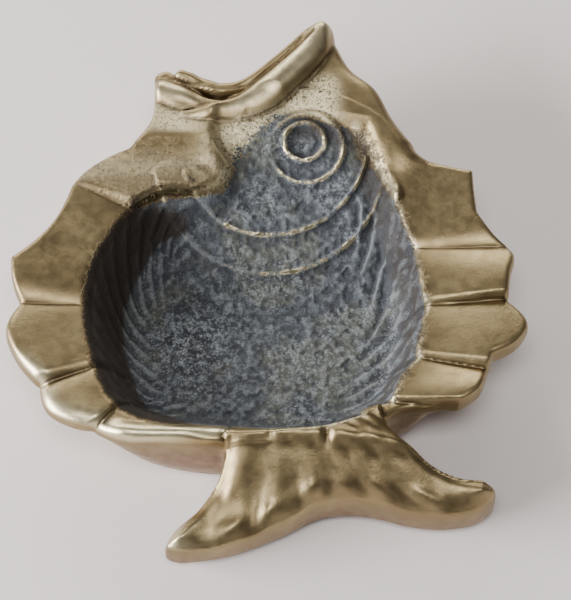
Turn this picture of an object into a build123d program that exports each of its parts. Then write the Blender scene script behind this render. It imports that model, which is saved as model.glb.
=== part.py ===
"""A solid brass incense burner: a fish curled round an open dish.

The dish is the fish's body. Its rim spreads into scalloped fins on both sides, the head
rises at +Y with an open mouth, and the tail runs out at -Y.

Frame, in millimetres: the origin is the middle of the flat foot, on the surface that the
burner stands on. +Z is up, +Y runs from the tail to the head, and +X is the dorsal side.

The burner is one casting. Each node here is one region of it, and the regions meet face
to face along the lines where one form ends and the next begins.
"""

from build123d import *

import os
from math import cos, dist, radians, sin, tan

os.makedirs("parts", exist_ok=True)

# ---- driving dimensions ---------------------------------------------------------------
FLOOR_Z = 4.0  # top of the dish floor above the table
WALL_TOP_Z = 14.2  # top of the dish wall, where the fins lie on it
PLATEAU_Z = 19.0  # top of the skull, under the lips
CHEEK_ANGLE = 27.0  # slope of the cheek, from the dish floor up to the skull
CHEEK_FOOT_Y = 8.0  # where that slope leaves the floor
FOOT_FRONT_Y = 24.0  # the foot's edge under the head
THROAT_SLOPE = 0.28  # climb of the head's underside away from the foot
FIN_THICKNESS = 3.2
CREASE_Z = 14.9  # top of the side fins at the creases between two rays
FIN_RISE = 2.3  # how far the crown of a side ray stands above its creases
PECTORAL_UNDER_Z = 11.8  # underside of the pectoral fin, on the back of the head
LIP_RADIUS = 2.1
EYE_RADIUS = 6.9  # middle line of the outer eye ring
PUPIL_RADIUS = 3.8  # middle line of the inner eye ring
RELIEF_RADIUS = 0.85  # half the width of a raised line on the cheek
TAIL_ROOT_Z = 15.9  # top of the tail's creases at the dish rim
TAIL_END_Z = 7.2  # the same, just past the tail's rear edge
TAIL_RISE = 0.8

cheek_slope = radians(CHEEK_ANGLE)
cheek_top_y = CHEEK_FOOT_Y + (PLATEAU_Z - FLOOR_Z) / tan(cheek_slope)
cheek_plane = Plane(
    origin=(0, CHEEK_FOOT_Y, FLOOR_Z),
    x_dir=(1, 0, 0),
    z_dir=(0, -sin(cheek_slope), cos(cheek_slope)),
)


# ---- helpers ----------------------------------------------------------------------------
def section(height, x_half, y_low, y_high, rear_corner, front_corner):
    """A level section of the dish: a rectangle, given by its sides, with round corners."""
    with BuildSketch(Plane.XY.offset(height)) as shape:
        with Locations((0, (y_low + y_high) / 2)):
            Rectangle(2 * x_half, y_high - y_low)
        fillet(shape.vertices().group_by(Axis.Y)[0], rear_corner)
        fillet(shape.vertices().group_by(Axis.Y)[-1], front_corner)
    return shape.sketch


def standing_plane(start, end):
    """An upright plane over the plan line from start to end, which is its x axis."""
    run_x, run_y = end[0] - start[0], end[1] - start[1]
    middle = ((start[0] + end[0]) / 2, (start[1] + end[1]) / 2, 0)
    return Plane(origin=middle, x_dir=(run_x, run_y, 0), z_dir=(run_y, -run_x, 0))


def crowned_ray(inner, outer):
    """Lofts one fin ray from its inner to its outer section.

    A section is (start, end, edge_z, rise, thickness): its ends in plan, the height of
    its top at both ends, how far the crown stands above that, and its thickness.
    """
    with BuildPart() as ray:
        for start, end, edge_z, rise, thickness in (inner, outer):
            half = dist(start, end) / 2
            under_z = edge_z - thickness
            with BuildSketch(standing_plane(start, end)):
                with BuildLine():
                    ThreePointArc((-half, edge_z), (0, edge_z + rise), (half, edge_z))
                    Line((half, edge_z), (half, under_z))
                    ThreePointArc((half, under_z), (0, under_z + rise), (-half, under_z))
                    Line((-half, under_z), (-half, edge_z))
                make_face()
        loft()
    return ray.part


def along(crease, share):
    """The plan point at a share of the way along a crease, from its rim end."""
    (x0, y0), (x1, y1) = crease
    return (x0 + share * (x1 - x0), y0 + share * (y1 - y0))


def side_fin_rays(creases):
    """Builds the rays between neighbouring creases, each longer than the fin is wide."""
    rays = []
    for one, other in zip(creases, creases[1:]):
        inner = (along(one, -0.25), along(other, -0.25), CREASE_Z, FIN_RISE * 0.6, FIN_THICKNESS)
        outer = (along(one, 1.7), along(other, 1.7), CREASE_Z, FIN_RISE, FIN_THICKNESS)
        rays.append(crowned_ray(inner, outer))
    return rays


def export(builder, name):
    """Names a finished part and writes its STEP file."""
    builder.part.label = name
    export_step(builder.part, f"parts/{name}.step")
    print(f"{name}: valid {builder.part.is_valid}, {len(builder.part.solids())} solid")


# ---- the shapes that form the dish -------------------------------------------------------
# The outside flares from the foot to the rim.
foot_outline = section(0, 28.0, -27.4, FOOT_FRONT_Y, rear_corner=17, front_corner=15)
wall_outline = section(WALL_TOP_Z, 33.0, -28.0, 30, rear_corner=22, front_corner=18)
with BuildPart() as dish_outside:
    loft([foot_outline, wall_outline])

# The hollow has steep walls and, towards the head, one long slope, which is the cheek.
floor_outline = section(FLOOR_Z, 23.8, -23.5, CHEEK_FOOT_Y, rear_corner=10, front_corner=6)
mouth_outline = section(PLATEAU_Z, 31.2, -26.9, cheek_top_y, rear_corner=18, front_corner=15)
with BuildPart() as hollow:
    loft([floor_outline, mouth_outline])

# ---- eye and gill relief, half sunk in the cheek -----------------------------------------
EYE = (8.4, 27.4)  # across the cheek, and up its slope
PUPIL = (8.0, 28.5)


def ring(centre, radius):
    """A round ring that lies on the cheek about its centre."""
    with BuildPart() as circle_ring:
        with BuildSketch(Plane.XZ):
            with Locations((radius, 0)):
                Circle(RELIEF_RADIUS)
        revolve(axis=Axis.Z)
    return (cheek_plane * Pos(*centre)) * circle_ring.part


with BuildPart() as eye_outer_ring:
    add(ring(EYE, EYE_RADIUS))

with BuildPart() as eye_inner_ring:
    add(ring(PUPIL, PUPIL_RADIUS))


def ridge(start, middle, end):
    """A raised line along an arc on the cheek, with blunt ends."""
    with BuildPart() as raised_line:
        with BuildLine(cheek_plane):
            path = ThreePointArc(start, middle, end)
        with BuildSketch(Plane(origin=path @ 0, z_dir=path % 0)):
            Circle(RELIEF_RADIUS)
        sweep()
    return raised_line.part


with BuildPart() as gill_ridge_upper:
    add(ridge((18.6, 21.6), (2.6, 10.4), (-12.0, 16.6)))

with BuildPart() as gill_ridge_lower:
    add(ridge((21.4, 16.0), (0.6, 3.2), (-18.0, 15.4)))

cheek_relief = (eye_outer_ring, eye_inner_ring, gill_ridge_upper, gill_ridge_lower)

# ---- lips ----------------------------------------------------------------------------------
MOUTH_CORNER = (-7.2, 40.4, 18.6)


def lip(middle, tip):
    """The round edge of one jaw, from the corner of the mouth to the tip of the jaw."""
    with BuildPart() as edge:
        with BuildLine():
            path = ThreePointArc(MOUTH_CORNER, middle, tip)
        with BuildSketch(Plane(origin=path @ 0, z_dir=path % 0)):
            Circle(LIP_RADIUS)
        sweep()
        fillet(edge.edges().filter_by(GeomType.CIRCLE), LIP_RADIUS * 0.6)
    return edge.part


with BuildPart() as upper_lip:
    add(lip((2.6, 45.8, 19.6), (11.0, 56.4, 20.0)))

with BuildPart() as lower_lip:
    add(lip((-13.0, 42.2, 18.4), (-18.0, 46.2, 17.4)))
    add(upper_lip.part, mode=Mode.SUBTRACT)

# ---- pectoral fin: a thick lobe laid over the back of the head -------------------------------
with BuildPart() as pectoral_fin:
    with BuildSketch(Plane.XY.offset(PECTORAL_UNDER_Z)):
        with BuildLine():
            Spline((-34.4, 23.5), (-28.1, 28.8), (-18.0, 31.8), (-10.1, 32.0), (-6.8, 27.4))
            Spline((-6.8, 27.4), (-8.4, 24.2), (-13.0, 23.4), (-19.8, 22.4), (-23.5, 20.0))
            Line((-23.5, 20.0), (-34.4, 23.5))
        make_face()
    extrude(amount=PLATEAU_Z)
    # Its top falls away from the head towards the dish.
    with BuildSketch(Plane.YZ):
        with BuildLine():
            Polyline((15, 0), (15, 14.4), (22, 16.2), (29, 18.6), (34, 18.8), (34, 0), close=True)
        make_face()
    extrude(amount=60, both=True, mode=Mode.INTERSECT)

# ---- head -------------------------------------------------------------------------------------
SNOUT = (11.8, 59.6)
CHIN = (-19.0, 48.2)
NAPE = (27.5, 32.0)

with BuildPart() as head:
    with BuildSketch(Plane.XY):
        with BuildLine():
            ThreePointArc((-24.0, 24.0), (1.0, CHEEK_FOOT_Y + 0.5), (25.0, 24.0))
            Line((25.0, 24.0), NAPE)
            Spline(NAPE, (21.0, 40.6), (16.6, 47.0), (14.6, 54.0), SNOUT)
            Spline(SNOUT, (7.0, 55.0), (1.0, 49.8), (-4.0, 46.8), (-8.2, 45.4))
            Spline((-8.2, 45.4), (-11.6, 47.2), (-15.0, 49.2), CHIN)
            Spline(CHIN, (-20.0, 44.0), (-20.6, 38.0), (-24.0, 31.0))
            Line((-24.0, 31.0), (-24.0, 24.0))
        make_face()
    extrude(amount=PLATEAU_Z)
    # The throat climbs away from the table in front of the foot.
    with BuildSketch(Plane.YZ):
        with BuildLine():
            throat = [(FOOT_FRONT_Y, 0), (FOOT_FRONT_Y + 50, 50 * THROAT_SLOPE)]
            Polyline(*throat, (FOOT_FRONT_Y + 50, -5), (FOOT_FRONT_Y, -5), close=True)
        make_face()
    extrude(amount=60, both=True, mode=Mode.SUBTRACT)
    # The gape is a narrow slot between the near and the far side of the mouth.
    with BuildSketch(Plane.XY.offset(11)):
        with BuildLine():
            Spline((-17.0, 47.6), (-7.4, 41.8), (2.6, 47.4), (10.4, 56.4))
            Spline((10.4, 56.4), (0.8, 49.6), (-7.8, 44.2), (-17.0, 47.6))
        make_face()
    extrude(amount=PLATEAU_Z, mode=Mode.SUBTRACT)
    for neighbour in (*cheek_relief, hollow, pectoral_fin, upper_lip, lower_lip):
        add(neighbour.part, mode=Mode.SUBTRACT)

# ---- side fins ---------------------------------------------------------------------------------
# A crease runs from the dish rim to a notch in the fin's edge.
BELLY_CREASES = [
    ((-23.5, 20.0), (-34.4, 23.5)),
    ((-31.3, -0.9), (-43.0, -0.7)),
    ((-28.5, -13.2), (-38.4, -17.2)),
    ((-24.4, -21.0), (-27.6, -24.6)),
    ((-5.0, -25.5), (-5.6, -28.6)),
]
DORSAL_CREASES = [
    ((18.2, -23.4), (20.8, -25.6)),
    ((23.5, -20.3), (34.5, -21.3)),
    ((28.2, -11.5), (40.0, -14.2)),
    ((30.6, -0.7), (44.4, 0.0)),
    ((29.6, 11.1), (45.9, 10.6)),
    ((22.0, 26.0), (27.5, 32.0)),
]
belly_rays = side_fin_rays(BELLY_CREASES)
dorsal_rays = side_fin_rays(DORSAL_CREASES)

with BuildPart() as belly_fin:
    add(belly_rays)
    with BuildSketch(Plane.XY):
        with BuildLine():
            Spline((-34.4, 23.5), (-37.2, 16.6), (-40.4, 12.4), (-45.4, 8.2))
            Spline((-45.4, 8.2), (-44.6, 3.4), (-42.9, -0.4))
            Spline((-42.9, -0.4), (-45.0, -5.8), (-43.0, -11.0), (-38.8, -16.4))
            Spline((-38.8, -16.4), (-38.0, -20.4), (-33.0, -23.0), (-28.0, -24.8))
            Spline((-28.0, -24.8), (-24.0, -27.4), (-16.0, -28.0), (-5.6, -28.6))
            Polyline((-5.6, -28.6), (-5.0, -20.0), (-20.0, 18.0), (-34.4, 23.5))
        make_face()
    extrude(amount=2 * PLATEAU_Z, mode=Mode.INTERSECT)
    for neighbour in (hollow, pectoral_fin):
        add(neighbour.part, mode=Mode.SUBTRACT)

with BuildPart() as dorsal_fin:
    add(dorsal_rays)
    with BuildSketch(Plane.XY):
        with BuildLine():
            Spline(NAPE, (30.5, 29.9), (35.1, 28.0), (39.4, 27.0))
            Spline((39.4, 27.0), (39.5, 22.7), (39.8, 18.0))
            Spline((39.8, 18.0), (42.6, 13.4), (46.1, 9.8), (45.2, 5.2), (44.4, 0.0))
            Spline((44.4, 0.0), (47.6, -5.6), (45.6, -9.0), (40.9, -11.7))
            Spline((40.9, -11.7), (40.0, -14.4), (38.4, -18.4), (34.5, -21.3))
            Spline((34.5, -21.3), (29.3, -21.2), (24.6, -22.0), (20.8, -24.8))
            Polyline((20.8, -24.8), (15.0, -18.0), (18.0, 22.0), NAPE)
        make_face()
    extrude(amount=2 * PLATEAU_Z, mode=Mode.INTERSECT)
    for neighbour in (hollow, head):
        add(neighbour.part, mode=Mode.SUBTRACT)

# ---- bowl: the foot, the floor and the wall -------------------------------------------------------
with BuildPart() as bowl:
    add(dish_outside.part)
    for neighbour in (hollow, head, pectoral_fin, belly_fin, dorsal_fin, *cheek_relief):
        add(neighbour.part, mode=Mode.SUBTRACT)

# ---- tail ----------------------------------------------------------------------------------------
# The flutes fan out from the rim. Their last points lie just past the tail's rear edge.
TAIL_ENDS = [
    (-19.0, -45.0), (-11.0, -47.0), (-2.5, -46.0), (6.0, -42.5),
    (14.0, -41.0), (22.0, -42.5), (30.0, -42.5), (38.0, -41.0), (44.5, -34.5),
]  # fmt: skip
TAIL_ROOT_X = (-5.6, 20.8)
TAIL_ROOT_Y = -24.0

flute_count = len(TAIL_ENDS) - 1
root_step = (TAIL_ROOT_X[1] - TAIL_ROOT_X[0]) / flute_count
tail_roots = [(TAIL_ROOT_X[0] + i * root_step, TAIL_ROOT_Y) for i in range(flute_count + 1)]
flutes = [
    crowned_ray(
        (tail_roots[i], tail_roots[i + 1], TAIL_ROOT_Z, TAIL_RISE * 0.6, 14.0),
        (TAIL_ENDS[i], TAIL_ENDS[i + 1], TAIL_END_Z, TAIL_RISE * 1.6, 5.5),
    )
    for i in range(flute_count)
]

with BuildPart() as tail_fin:
    add(flutes)
    with BuildSketch(Plane.XY):
        with BuildLine():
            Spline((-5.6, -28.0), (-7.0, -33.6), (-10.6, -38.0), (-15.4, -41.6))
            ThreePointArc((-15.4, -41.6), (-16.6, -44.0), (-14.4, -45.4))
            Spline((-14.4, -45.4), (-5.6, -44.4), (3.6, -40.6), (12.0, -36.4))
            Spline((12.0, -36.4), (16.0, -35.9), (24.0, -38.0), (32.0, -38.8), (38.6, -37.4))
            ThreePointArc((38.6, -37.4), (41.4, -34.8), (39.6, -33.0))
            Spline((39.6, -33.0), (34.0, -32.7), (29.6, -30.9), (20.8, -23.0))
            Polyline((20.8, -23.0), (18.0, -18.0), (-5.6, -20.0), (-5.6, -28.0))
        make_face()
    extrude(amount=2 * PLATEAU_Z, mode=Mode.INTERSECT)
    for neighbour in (hollow, bowl, belly_fin, dorsal_fin):
        add(neighbour.part, mode=Mode.SUBTRACT)


# ---- hand over ------------------------------------------------------------------------------------
export(bowl, "bowl")
export(head, "head")
export(belly_fin, "belly_fin")
export(dorsal_fin, "dorsal_fin")
export(pectoral_fin, "pectoral_fin")
export(tail_fin, "tail_fin")
export(upper_lip, "upper_lip")
export(lower_lip, "lower_lip")
export(eye_outer_ring, "eye_outer_ring")
export(eye_inner_ring, "eye_inner_ring")
export(gill_ridge_upper, "gill_ridge_upper")
export(gill_ridge_lower, "gill_ridge_lower")
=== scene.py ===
"""The looks of the fish-shaped brass incense burner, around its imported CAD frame.

The whole casting is described by a few maps over the plan (x, y): the height of its top,
the height of its underside and the distance to its edge. Each piece is the part of that
casting inside its own outline, meshed as a closed surface. Plan outlines, maps and
fields are in millimetres; meshes, lights and the camera are in metres.
"""

import math

import bpy
import numpy as np
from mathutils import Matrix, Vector


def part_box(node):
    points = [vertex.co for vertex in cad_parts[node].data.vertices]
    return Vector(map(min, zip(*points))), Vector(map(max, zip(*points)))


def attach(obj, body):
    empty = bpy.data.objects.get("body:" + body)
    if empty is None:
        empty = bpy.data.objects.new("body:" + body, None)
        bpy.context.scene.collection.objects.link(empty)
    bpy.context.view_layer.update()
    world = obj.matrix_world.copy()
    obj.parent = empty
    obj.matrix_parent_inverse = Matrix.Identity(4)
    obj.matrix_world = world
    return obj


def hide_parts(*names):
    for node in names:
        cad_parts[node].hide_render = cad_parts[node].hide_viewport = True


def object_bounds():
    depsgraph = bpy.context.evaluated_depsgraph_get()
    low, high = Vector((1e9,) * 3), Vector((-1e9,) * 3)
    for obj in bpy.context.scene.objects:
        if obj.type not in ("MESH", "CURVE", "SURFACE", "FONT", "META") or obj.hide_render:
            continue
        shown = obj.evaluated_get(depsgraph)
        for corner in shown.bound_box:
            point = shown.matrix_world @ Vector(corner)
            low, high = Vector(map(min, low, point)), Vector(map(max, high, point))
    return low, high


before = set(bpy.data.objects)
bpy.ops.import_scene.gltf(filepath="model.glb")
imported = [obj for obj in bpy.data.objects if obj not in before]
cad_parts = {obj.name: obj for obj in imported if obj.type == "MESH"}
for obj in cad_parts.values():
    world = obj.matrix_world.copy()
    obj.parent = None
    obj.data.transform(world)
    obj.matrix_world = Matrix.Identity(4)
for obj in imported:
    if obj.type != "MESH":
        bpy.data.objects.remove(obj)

CAD_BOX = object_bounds()
MM = 0.001
STEP = 0.335  # the grid of the maps and of the meshes
TINY = 1e-9  # keeps divisions from failing
LEAST_SLOPE = 1e-6  # the smallest squared slope that a move is divided by


def node_box(name):
    """A CAD node's lowest and highest corners, in millimetres."""
    low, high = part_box(name)
    return np.array(low) / MM, np.array(high) / MM


# ---- plan curves ------------------------------------------------------------------------
def smooth_line(points, per_span=7):
    """Samples a smooth curve through the points, with chord-length spacing."""
    p = np.asarray(points, float)
    if len(p) < 3:
        return p
    chord = np.linalg.norm(np.diff(p, axis=0), axis=1)
    slope = np.diff(p, axis=0) / chord[:, None]
    both = (chord[1:] + chord[:-1])[:, None]
    inner = (slope[:-1] * chord[1:, None] + slope[1:] * chord[:-1, None]) / both
    tangent = np.vstack([1.5 * slope[:1] - 0.5 * inner[:1], inner, 1.5 * slope[-1:] - 0.5 * inner[-1:]])
    t = np.linspace(0, 1, per_span, endpoint=False)[:, None]
    spans = [
        (2 * t**3 - 3 * t**2 + 1) * p[i]
        + (t**3 - 2 * t**2 + t) * chord[i] * tangent[i]
        + (3 * t**2 - 2 * t**3) * p[i + 1]
        + (t**3 - t**2) * chord[i] * tangent[i + 1]
        for i in range(len(p) - 1)
    ]
    return np.vstack(spans + [p[-1:]])


def outline(*stretches):
    """A closed loop of smooth stretches that meet in corners."""
    return np.vstack([smooth_line(stretch)[:-1] for stretch in stretches])


def nearest(line, x, y, closed=False):
    """Distance to a line of points, and how far along it the nearest point lies."""
    ends = np.roll(line, -1, axis=0) if closed else line[1:]
    best = np.full(x.shape, np.inf)
    place = np.zeros(x.shape)
    run = 0.0
    for (ax, ay), (bx, by) in zip(line, ends):
        dx, dy = bx - ax, by - ay
        length = math.hypot(dx, dy)
        t = np.clip(((x - ax) * dx + (y - ay) * dy) / length**2, 0, 1)
        gap = (x - ax - t * dx) ** 2 + (y - ay - t * dy) ** 2
        closer = gap < best
        best = np.where(closer, gap, best)
        place = np.where(closer, run + t * length, place)
        run += length
    return np.sqrt(best), place


def inside(loop, x, y):
    """Whether each point lies inside a closed loop."""
    result = np.zeros(x.shape, bool)
    for (ax, ay), (bx, by) in zip(loop, np.roll(loop, -1, axis=0)):
        if ay != by:
            result ^= ((ay > y) != (by > y)) & (x < ax + (y - ay) * (bx - ax) / (by - ay))
    return result


def region(loop, x, y):
    """Distance to a closed loop, negative inside it, and the place along it."""
    gap, place = nearest(loop, x, y, closed=True)
    return np.where(inside(loop, x, y), -gap, gap), place


# ---- blending ---------------------------------------------------------------------------
def smooth_max(a, b, reach):
    """The larger of two values, rounded where they are within reach of each other."""
    share = np.clip(0.5 + 0.5 * (a - b) / reach, 0, 1)
    return b + (a - b) * share + reach * share * (1 - share)


def smooth_min(a, b, reach):
    return -smooth_max(-a, -b, reach)


def ease(value, low, high):
    """Rises smoothly from 0 at low to 1 at high."""
    t = np.clip((value - low) / (high - low), 0, 1)
    return t * t * (3 - 2 * t)


def bead(distance, half_width):
    """The section of a soft raised line: 1 along its middle, 0 past its half width."""
    return np.maximum(1 - (distance / half_width) ** 2, 0) ** 1.6


def peak(value, middle, reach):
    """A soft bell: 1 where a value is at its middle, fading over the reach."""
    return np.exp(-(((value - middle) / reach) ** 2))


def spot(x, y, reach_x, reach_y):
    """A soft bell around a place of the plan."""
    return peak(X, x, reach_x) * peak(Y, y, reach_y)


def noise(size, seed):
    """Smooth random values over the plan, about -1 to 1, with this spacing."""
    lattice = np.random.default_rng(seed).uniform(-1, 1, (len(grid_x), len(grid_y)))
    u, v = (X - grid_x[0]) / size, (Y - grid_y[0]) / size
    i, j = u.astype(int), v.astype(int)
    s, t = ease(u - i, 0, 1), ease(v - j, 0, 1)
    low = lattice[i, j] * (1 - t) + lattice[i, j + 1] * t
    high = lattice[i + 1, j] * (1 - t) + lattice[i + 1, j + 1] * t
    return low * (1 - s) + high * s


def crown(distance, radius):
    """The height of a half-round of this radius above its centre plane."""
    return np.sqrt(np.maximum(radius**2 - distance**2, 0))


def blur(field, passes):
    """Averages a map with its neighbours, once for each pass."""
    for _ in range(passes):
        field = (np.roll(field, 1, 0) + 2 * field + np.roll(field, -1, 0)) / 4
        field = (np.roll(field, 1, 1) + 2 * field + np.roll(field, -1, 1)) / 4
    return field


def steepness(field):
    """How much longer a map's surface is than its plan, along its slope."""
    return np.sqrt(1 + sum(slope**2 for slope in np.gradient(field, STEP)))


# ---- outlines of the casting, over the plan ---------------------------------------------
NAPE = (27.9, 32.4)
SNOUT = (11.6, 59.3)
# The dish with its side fins, closed inside the head.
BODY = outline(
    [NAPE, (30.5, 29.9), (35.1, 28.0), (39.4, 27.0)],
    [(39.4, 27.0), (39.5, 22.7), (39.8, 18.0)],
    [(39.8, 18.0), (42.6, 13.4), (46.1, 9.8), (45.2, 5.2), (44.4, 0.0)],
    [(44.4, 0.0), (47.6, -5.6), (45.6, -9.0), (40.9, -11.7)],
    [(40.9, -11.7), (40.0, -14.4), (38.4, -18.4), (34.5, -21.3)],
    [(34.5, -21.3), (29.3, -21.2), (24.6, -22.0), (20.8, -24.8)],
    [(20.8, -24.8), (8.0, -27.6), (-5.6, -28.4)],
    [(-5.6, -28.4), (-16.0, -28.0), (-24.0, -27.4), (-28.0, -25.6)],
    [(-28.0, -25.6), (-32.6, -24.6), (-37.2, -21.8), (-39.0, -17.0)],
    [(-39.0, -17.0), (-43.4, -11.2), (-45.3, -6.0), (-43.1, -0.4)],
    [(-43.1, -0.4), (-44.6, 3.4), (-45.3, 8.2)],
    [(-45.3, 8.2), (-40.8, 12.6), (-37.6, 17.0), (-35.2, 23.5)],
    [(-35.2, 23.5), (-32.8, 26.9), (-29.2, 29.8), (-23.5, 32.6)],
    [(-23.5, 32.6), (-14.0, 41.0), (14.0, 42.5), NAPE],
)
HEAD = outline(
    [(-24.0, 24.0), (1.0, 8.5), (25.0, 24.0)],
    [(25.0, 24.0), NAPE],
    [NAPE, (24.6, 38.4), (21.6, 44.8), (17.0, 49.4), (14.7, 54.4), (13.4, 58.2), SNOUT],
    [SNOUT, (8.2, 57.4), (4.9, 54.4), (1.6, 51.4), (-1.5, 48.8), (-4.8, 46.9), (-8.0, 46.2)],
    [(-8.0, 46.2), (-11.2, 47.6), (-13.6, 49.3), (-15.6, 49.6), (-16.7, 48.7)],
    [(-16.7, 48.7), (-18.2, 49.5), (-20.1, 48.8), (-20.3, 44.0), (-20.8, 38.4), (-23.5, 33.0)],
    [(-23.5, 33.0), (-24.0, 24.0)],
)
TAIL = outline(
    [(-5.6, -27.0), (-7.0, -32.6), (-10.4, -37.4), (-15.2, -41.6), (-16.2, -44.0), (-13.4, -45.2)],
    [(-13.4, -45.2), (-5.6, -44.0), (3.6, -40.4), (11.0, -36.8), (17.0, -36.4), (25.0, -38.2)],
    [(25.0, -38.2), (33.0, -38.9), (39.0, -37.2), (40.9, -35.0), (38.6, -33.2)],
    [(38.6, -33.2), (34.0, -32.7), (29.6, -30.9), (25.0, -27.4), (20.8, -23.0)],
    [(20.8, -23.0), (18.0, -16.0), (-5.6, -18.0), (-5.6, -27.0)],
)
# The small fin that lies over the left end of the cheek.
PECTORAL = outline(
    [(-36.0, 23.5), (-33.2, 27.4), (-29.2, 30.6), (-22.6, 33.4),
     (-16.0, 34.0), (-10.4, 32.6), (-6.8, 28.6)],
    [(-6.8, 28.6), (-8.4, 25.0), (-13.0, 23.5), (-19.8, 22.2), (-23.8, 19.6)],
    [(-23.8, 19.6), (-36.0, 23.5)],
)
# The edge of the hollow, closed under the head.
RIM = outline(
    [(19.5, 36.0), (23.9, 25.7), (27.6, 15.0), (29.8, 5.0), (30.2, -3.0), (28.2, -11.5), (23.5, -20.3)],
    [(23.5, -20.3), (19.0, -22.6), (12.0, -25.2), (3.0, -25.9),
     (-6.0, -25.6), (-14.0, -24.7), (-20.4, -23.2)],
    [(-20.4, -23.2), (-25.6, -19.5), (-28.5, -13.2), (-30.9, -4.0),
     (-30.8, 5.0), (-28.0, 13.0), (-23.8, 19.6)],
    [(-23.8, 19.6), (-19.8, 22.2), (-13.0, 23.5), (-8.4, 24.6), (-6.4, 28.0), (-8.0, 33.0), (-4.0, 42.0)],
    [(-4.0, 42.0), (19.5, 36.0)],
)
# The flat that the burner stands on.
FOOT = outline(
    [(0, 26.5), (14, 25.0), (23, 20.0), (27.5, 12.0),
     (29.0, 0), (29.3, -10.0), (28.0, -16.0), (22.5, -21.6)],
    [(22.5, -21.6), (12.0, -26.2), (-2.0, -27.4), (-14.4, -26.4), (-19.7, -24.9), (-25.4, -21.6)],
    [(-25.4, -21.6), (-28.4, -17.0), (-29.0, -8.0), (-28.5, 4.0), (-26.6, 13.0), (-22.0, 21.0), (0, 26.5)],
)
# The dark opening between the lips.
GAPE = outline(
    [(-17.6, 47.2), (-14.2, 44.4), (-9.4, 41.4), (-5.0, 41.6), (-1.0, 44.7), (3.6, 49.2), (10.2, 56.4)],
    [(10.2, 56.4), (5.4, 52.6), (1.6, 49.2), (-2.6, 46.0), (-8.0, 44.4), (-12.4, 45.8), (-17.6, 47.2)],
)
UPPER_LIP = smooth_line(
    [(-14.5, 39.0), (-8.4, 39.2), (-4.1, 40.2), (-0.4, 42.2),
     (2.9, 45.2), (6.2, 48.6), (9.4, 52.4), (11.8, 57.6)]
)
LOWER_LIP = smooth_line([(-8.8, 40.6), (-13.0, 42.0), (-19.0, 44.4)])
FAR_LIP = smooth_line([(-15.6, 48.4), (-12.4, 47.0), (-8.0, 45.2), (-3.8, 46.2), (1.6, 50.3), (9.6, 57.6)])
# The rolled edge at the rear left of the dish.
ROLLED_LIP = smooth_line([(-26.6, -25.0), (-22.0, -26.2), (-16.5, -26.6), (-10.5, -26.4), (-6.5, -26.0)])
# The patina's reach, up to its shore on the cheek.
PATINA = outline(
    [(-40.0, 24.0), (-8.0, 24.0)],
    [(-8.0, 24.0), (-6.8, 28.5), (-3.1, 32.7), (0.1, 36.1), (5.3, 40.4), (10.5, 41.6), (15.0, 38.2)],
    [(15.0, 38.2), (16.6, 33.6), (17.2, 30.0), (21.8, 27.2)],
    [(21.8, 27.2), (40.0, 22.0), (40.0, -40.0), (-40.0, -40.0), (-40.0, 24.0)],
)
# The ridge from the nape down the right side of the cheek.
CREST = smooth_line([(17.5, 36.0), (20.6, 30.4), (23.0, 25.4), (24.6, 21.6)])

# The creases between the rays of the side fins, each from the rim outwards.
BELLY_CREASES = [
    ((-23.5, 20.0), (-34.4, 23.5)),
    ((-31.3, -0.9), (-43.0, -0.7)),
    ((-28.5, -13.2), (-38.4, -17.2)),
    ((-24.4, -21.0), (-27.6, -24.6)),
    ((-5.0, -25.5), (-5.6, -28.6)),
]
DORSAL_CREASES = [
    ((22.0, 26.0), NAPE),
    ((29.6, 11.1), (45.9, 10.8)),
    ((30.6, -0.7), (44.4, 0.0)),
    ((28.2, -11.5), (40.0, -14.2)),
    ((23.5, -20.3), (34.5, -21.3)),
    ((18.2, -23.4), (20.8, -25.6)),
]
# Where the grooves between the tail's flutes end.
TAIL_ENDS = [
    (-19.0, -45.0), (-11.0, -47.0), (-2.5, -46.0), (6.0, -42.5),
    (14.0, -41.0), (22.0, -42.5), (30.0, -42.5), (38.0, -41.0), (44.5, -34.5),
]  # fmt: skip

# ---- heights and slopes, and the relief's places from the CAD nodes ---------------------------
FLOOR_Z = 4.0
CREASE_Z = 15.0
LIP_BASE_Z = 15.0
FIN_BASE_Z = 11.8
NAPE_Z = 17.9
SKULL_Z = 18.1
PAD_Z = 17.1
TAIL_END_Z = 8.2
TAIL_RISE = 9.2
CHEEK_ANGLE = math.radians(27)
CHEEK_FOOT_Y = 8.0
FIN_THICKNESS = 3.2
OUTSIDE_FALL = 3.0  # how steeply a form drops outside its own outline
WALL_SLOPE = 2.0
FOOT_FLARE = 2.8
RAY_CREST = 0.87  # where across a ray of a fin its crest lies
RIDGE_CREST = 0.22  # the same for a ridge of scales on a wall
SCALE_PITCH = 9.6
SCALE_HEIGHT = 0.85
TAIL_DROP_Y = -32.6
TAIL_DROP_REACH = 3.2
FLUTE_ROOT = (-5.6, -24.0)
FLUTE_PITCH = 3.3

RELIEF_NAMES = ("eye_outer_ring", "eye_inner_ring", "gill_ridge_upper", "gill_ridge_lower")
RELIEF = 0.85  # from the outside of a ring to its middle line
RELIEF_WIDTH = 0.9  # half the band that the piece of a raised line takes
RELIEF_DEPTH = 1.0
LINE_HEIGHT = 0.7
PUPIL_DEPTH = 0.5
PLATE_HEIGHT = 0.55
LINE_WIDTHS = {
    "eye_outer_ring": 0.75,
    "eye_inner_ring": 0.85,
    "gill_ridge_upper": 0.62,
    "gill_ridge_lower": 0.62,
}
GILLS = {
    "gill_ridge_upper": [(18.6, 21.6), (2.6, 10.4), (-12.0, 16.6)],
    "gill_ridge_lower": [(21.4, 16.0), (0.6, 3.2), (-18.0, 15.4)],
}
eye_low, eye_high = node_box("eye_outer_ring")
EYE = (eye_low + eye_high) / 2
EYE_RADIUS = (eye_high[0] - eye_low[0]) / 2 - RELIEF
pupil_low, pupil_high = node_box("eye_inner_ring")
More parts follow.
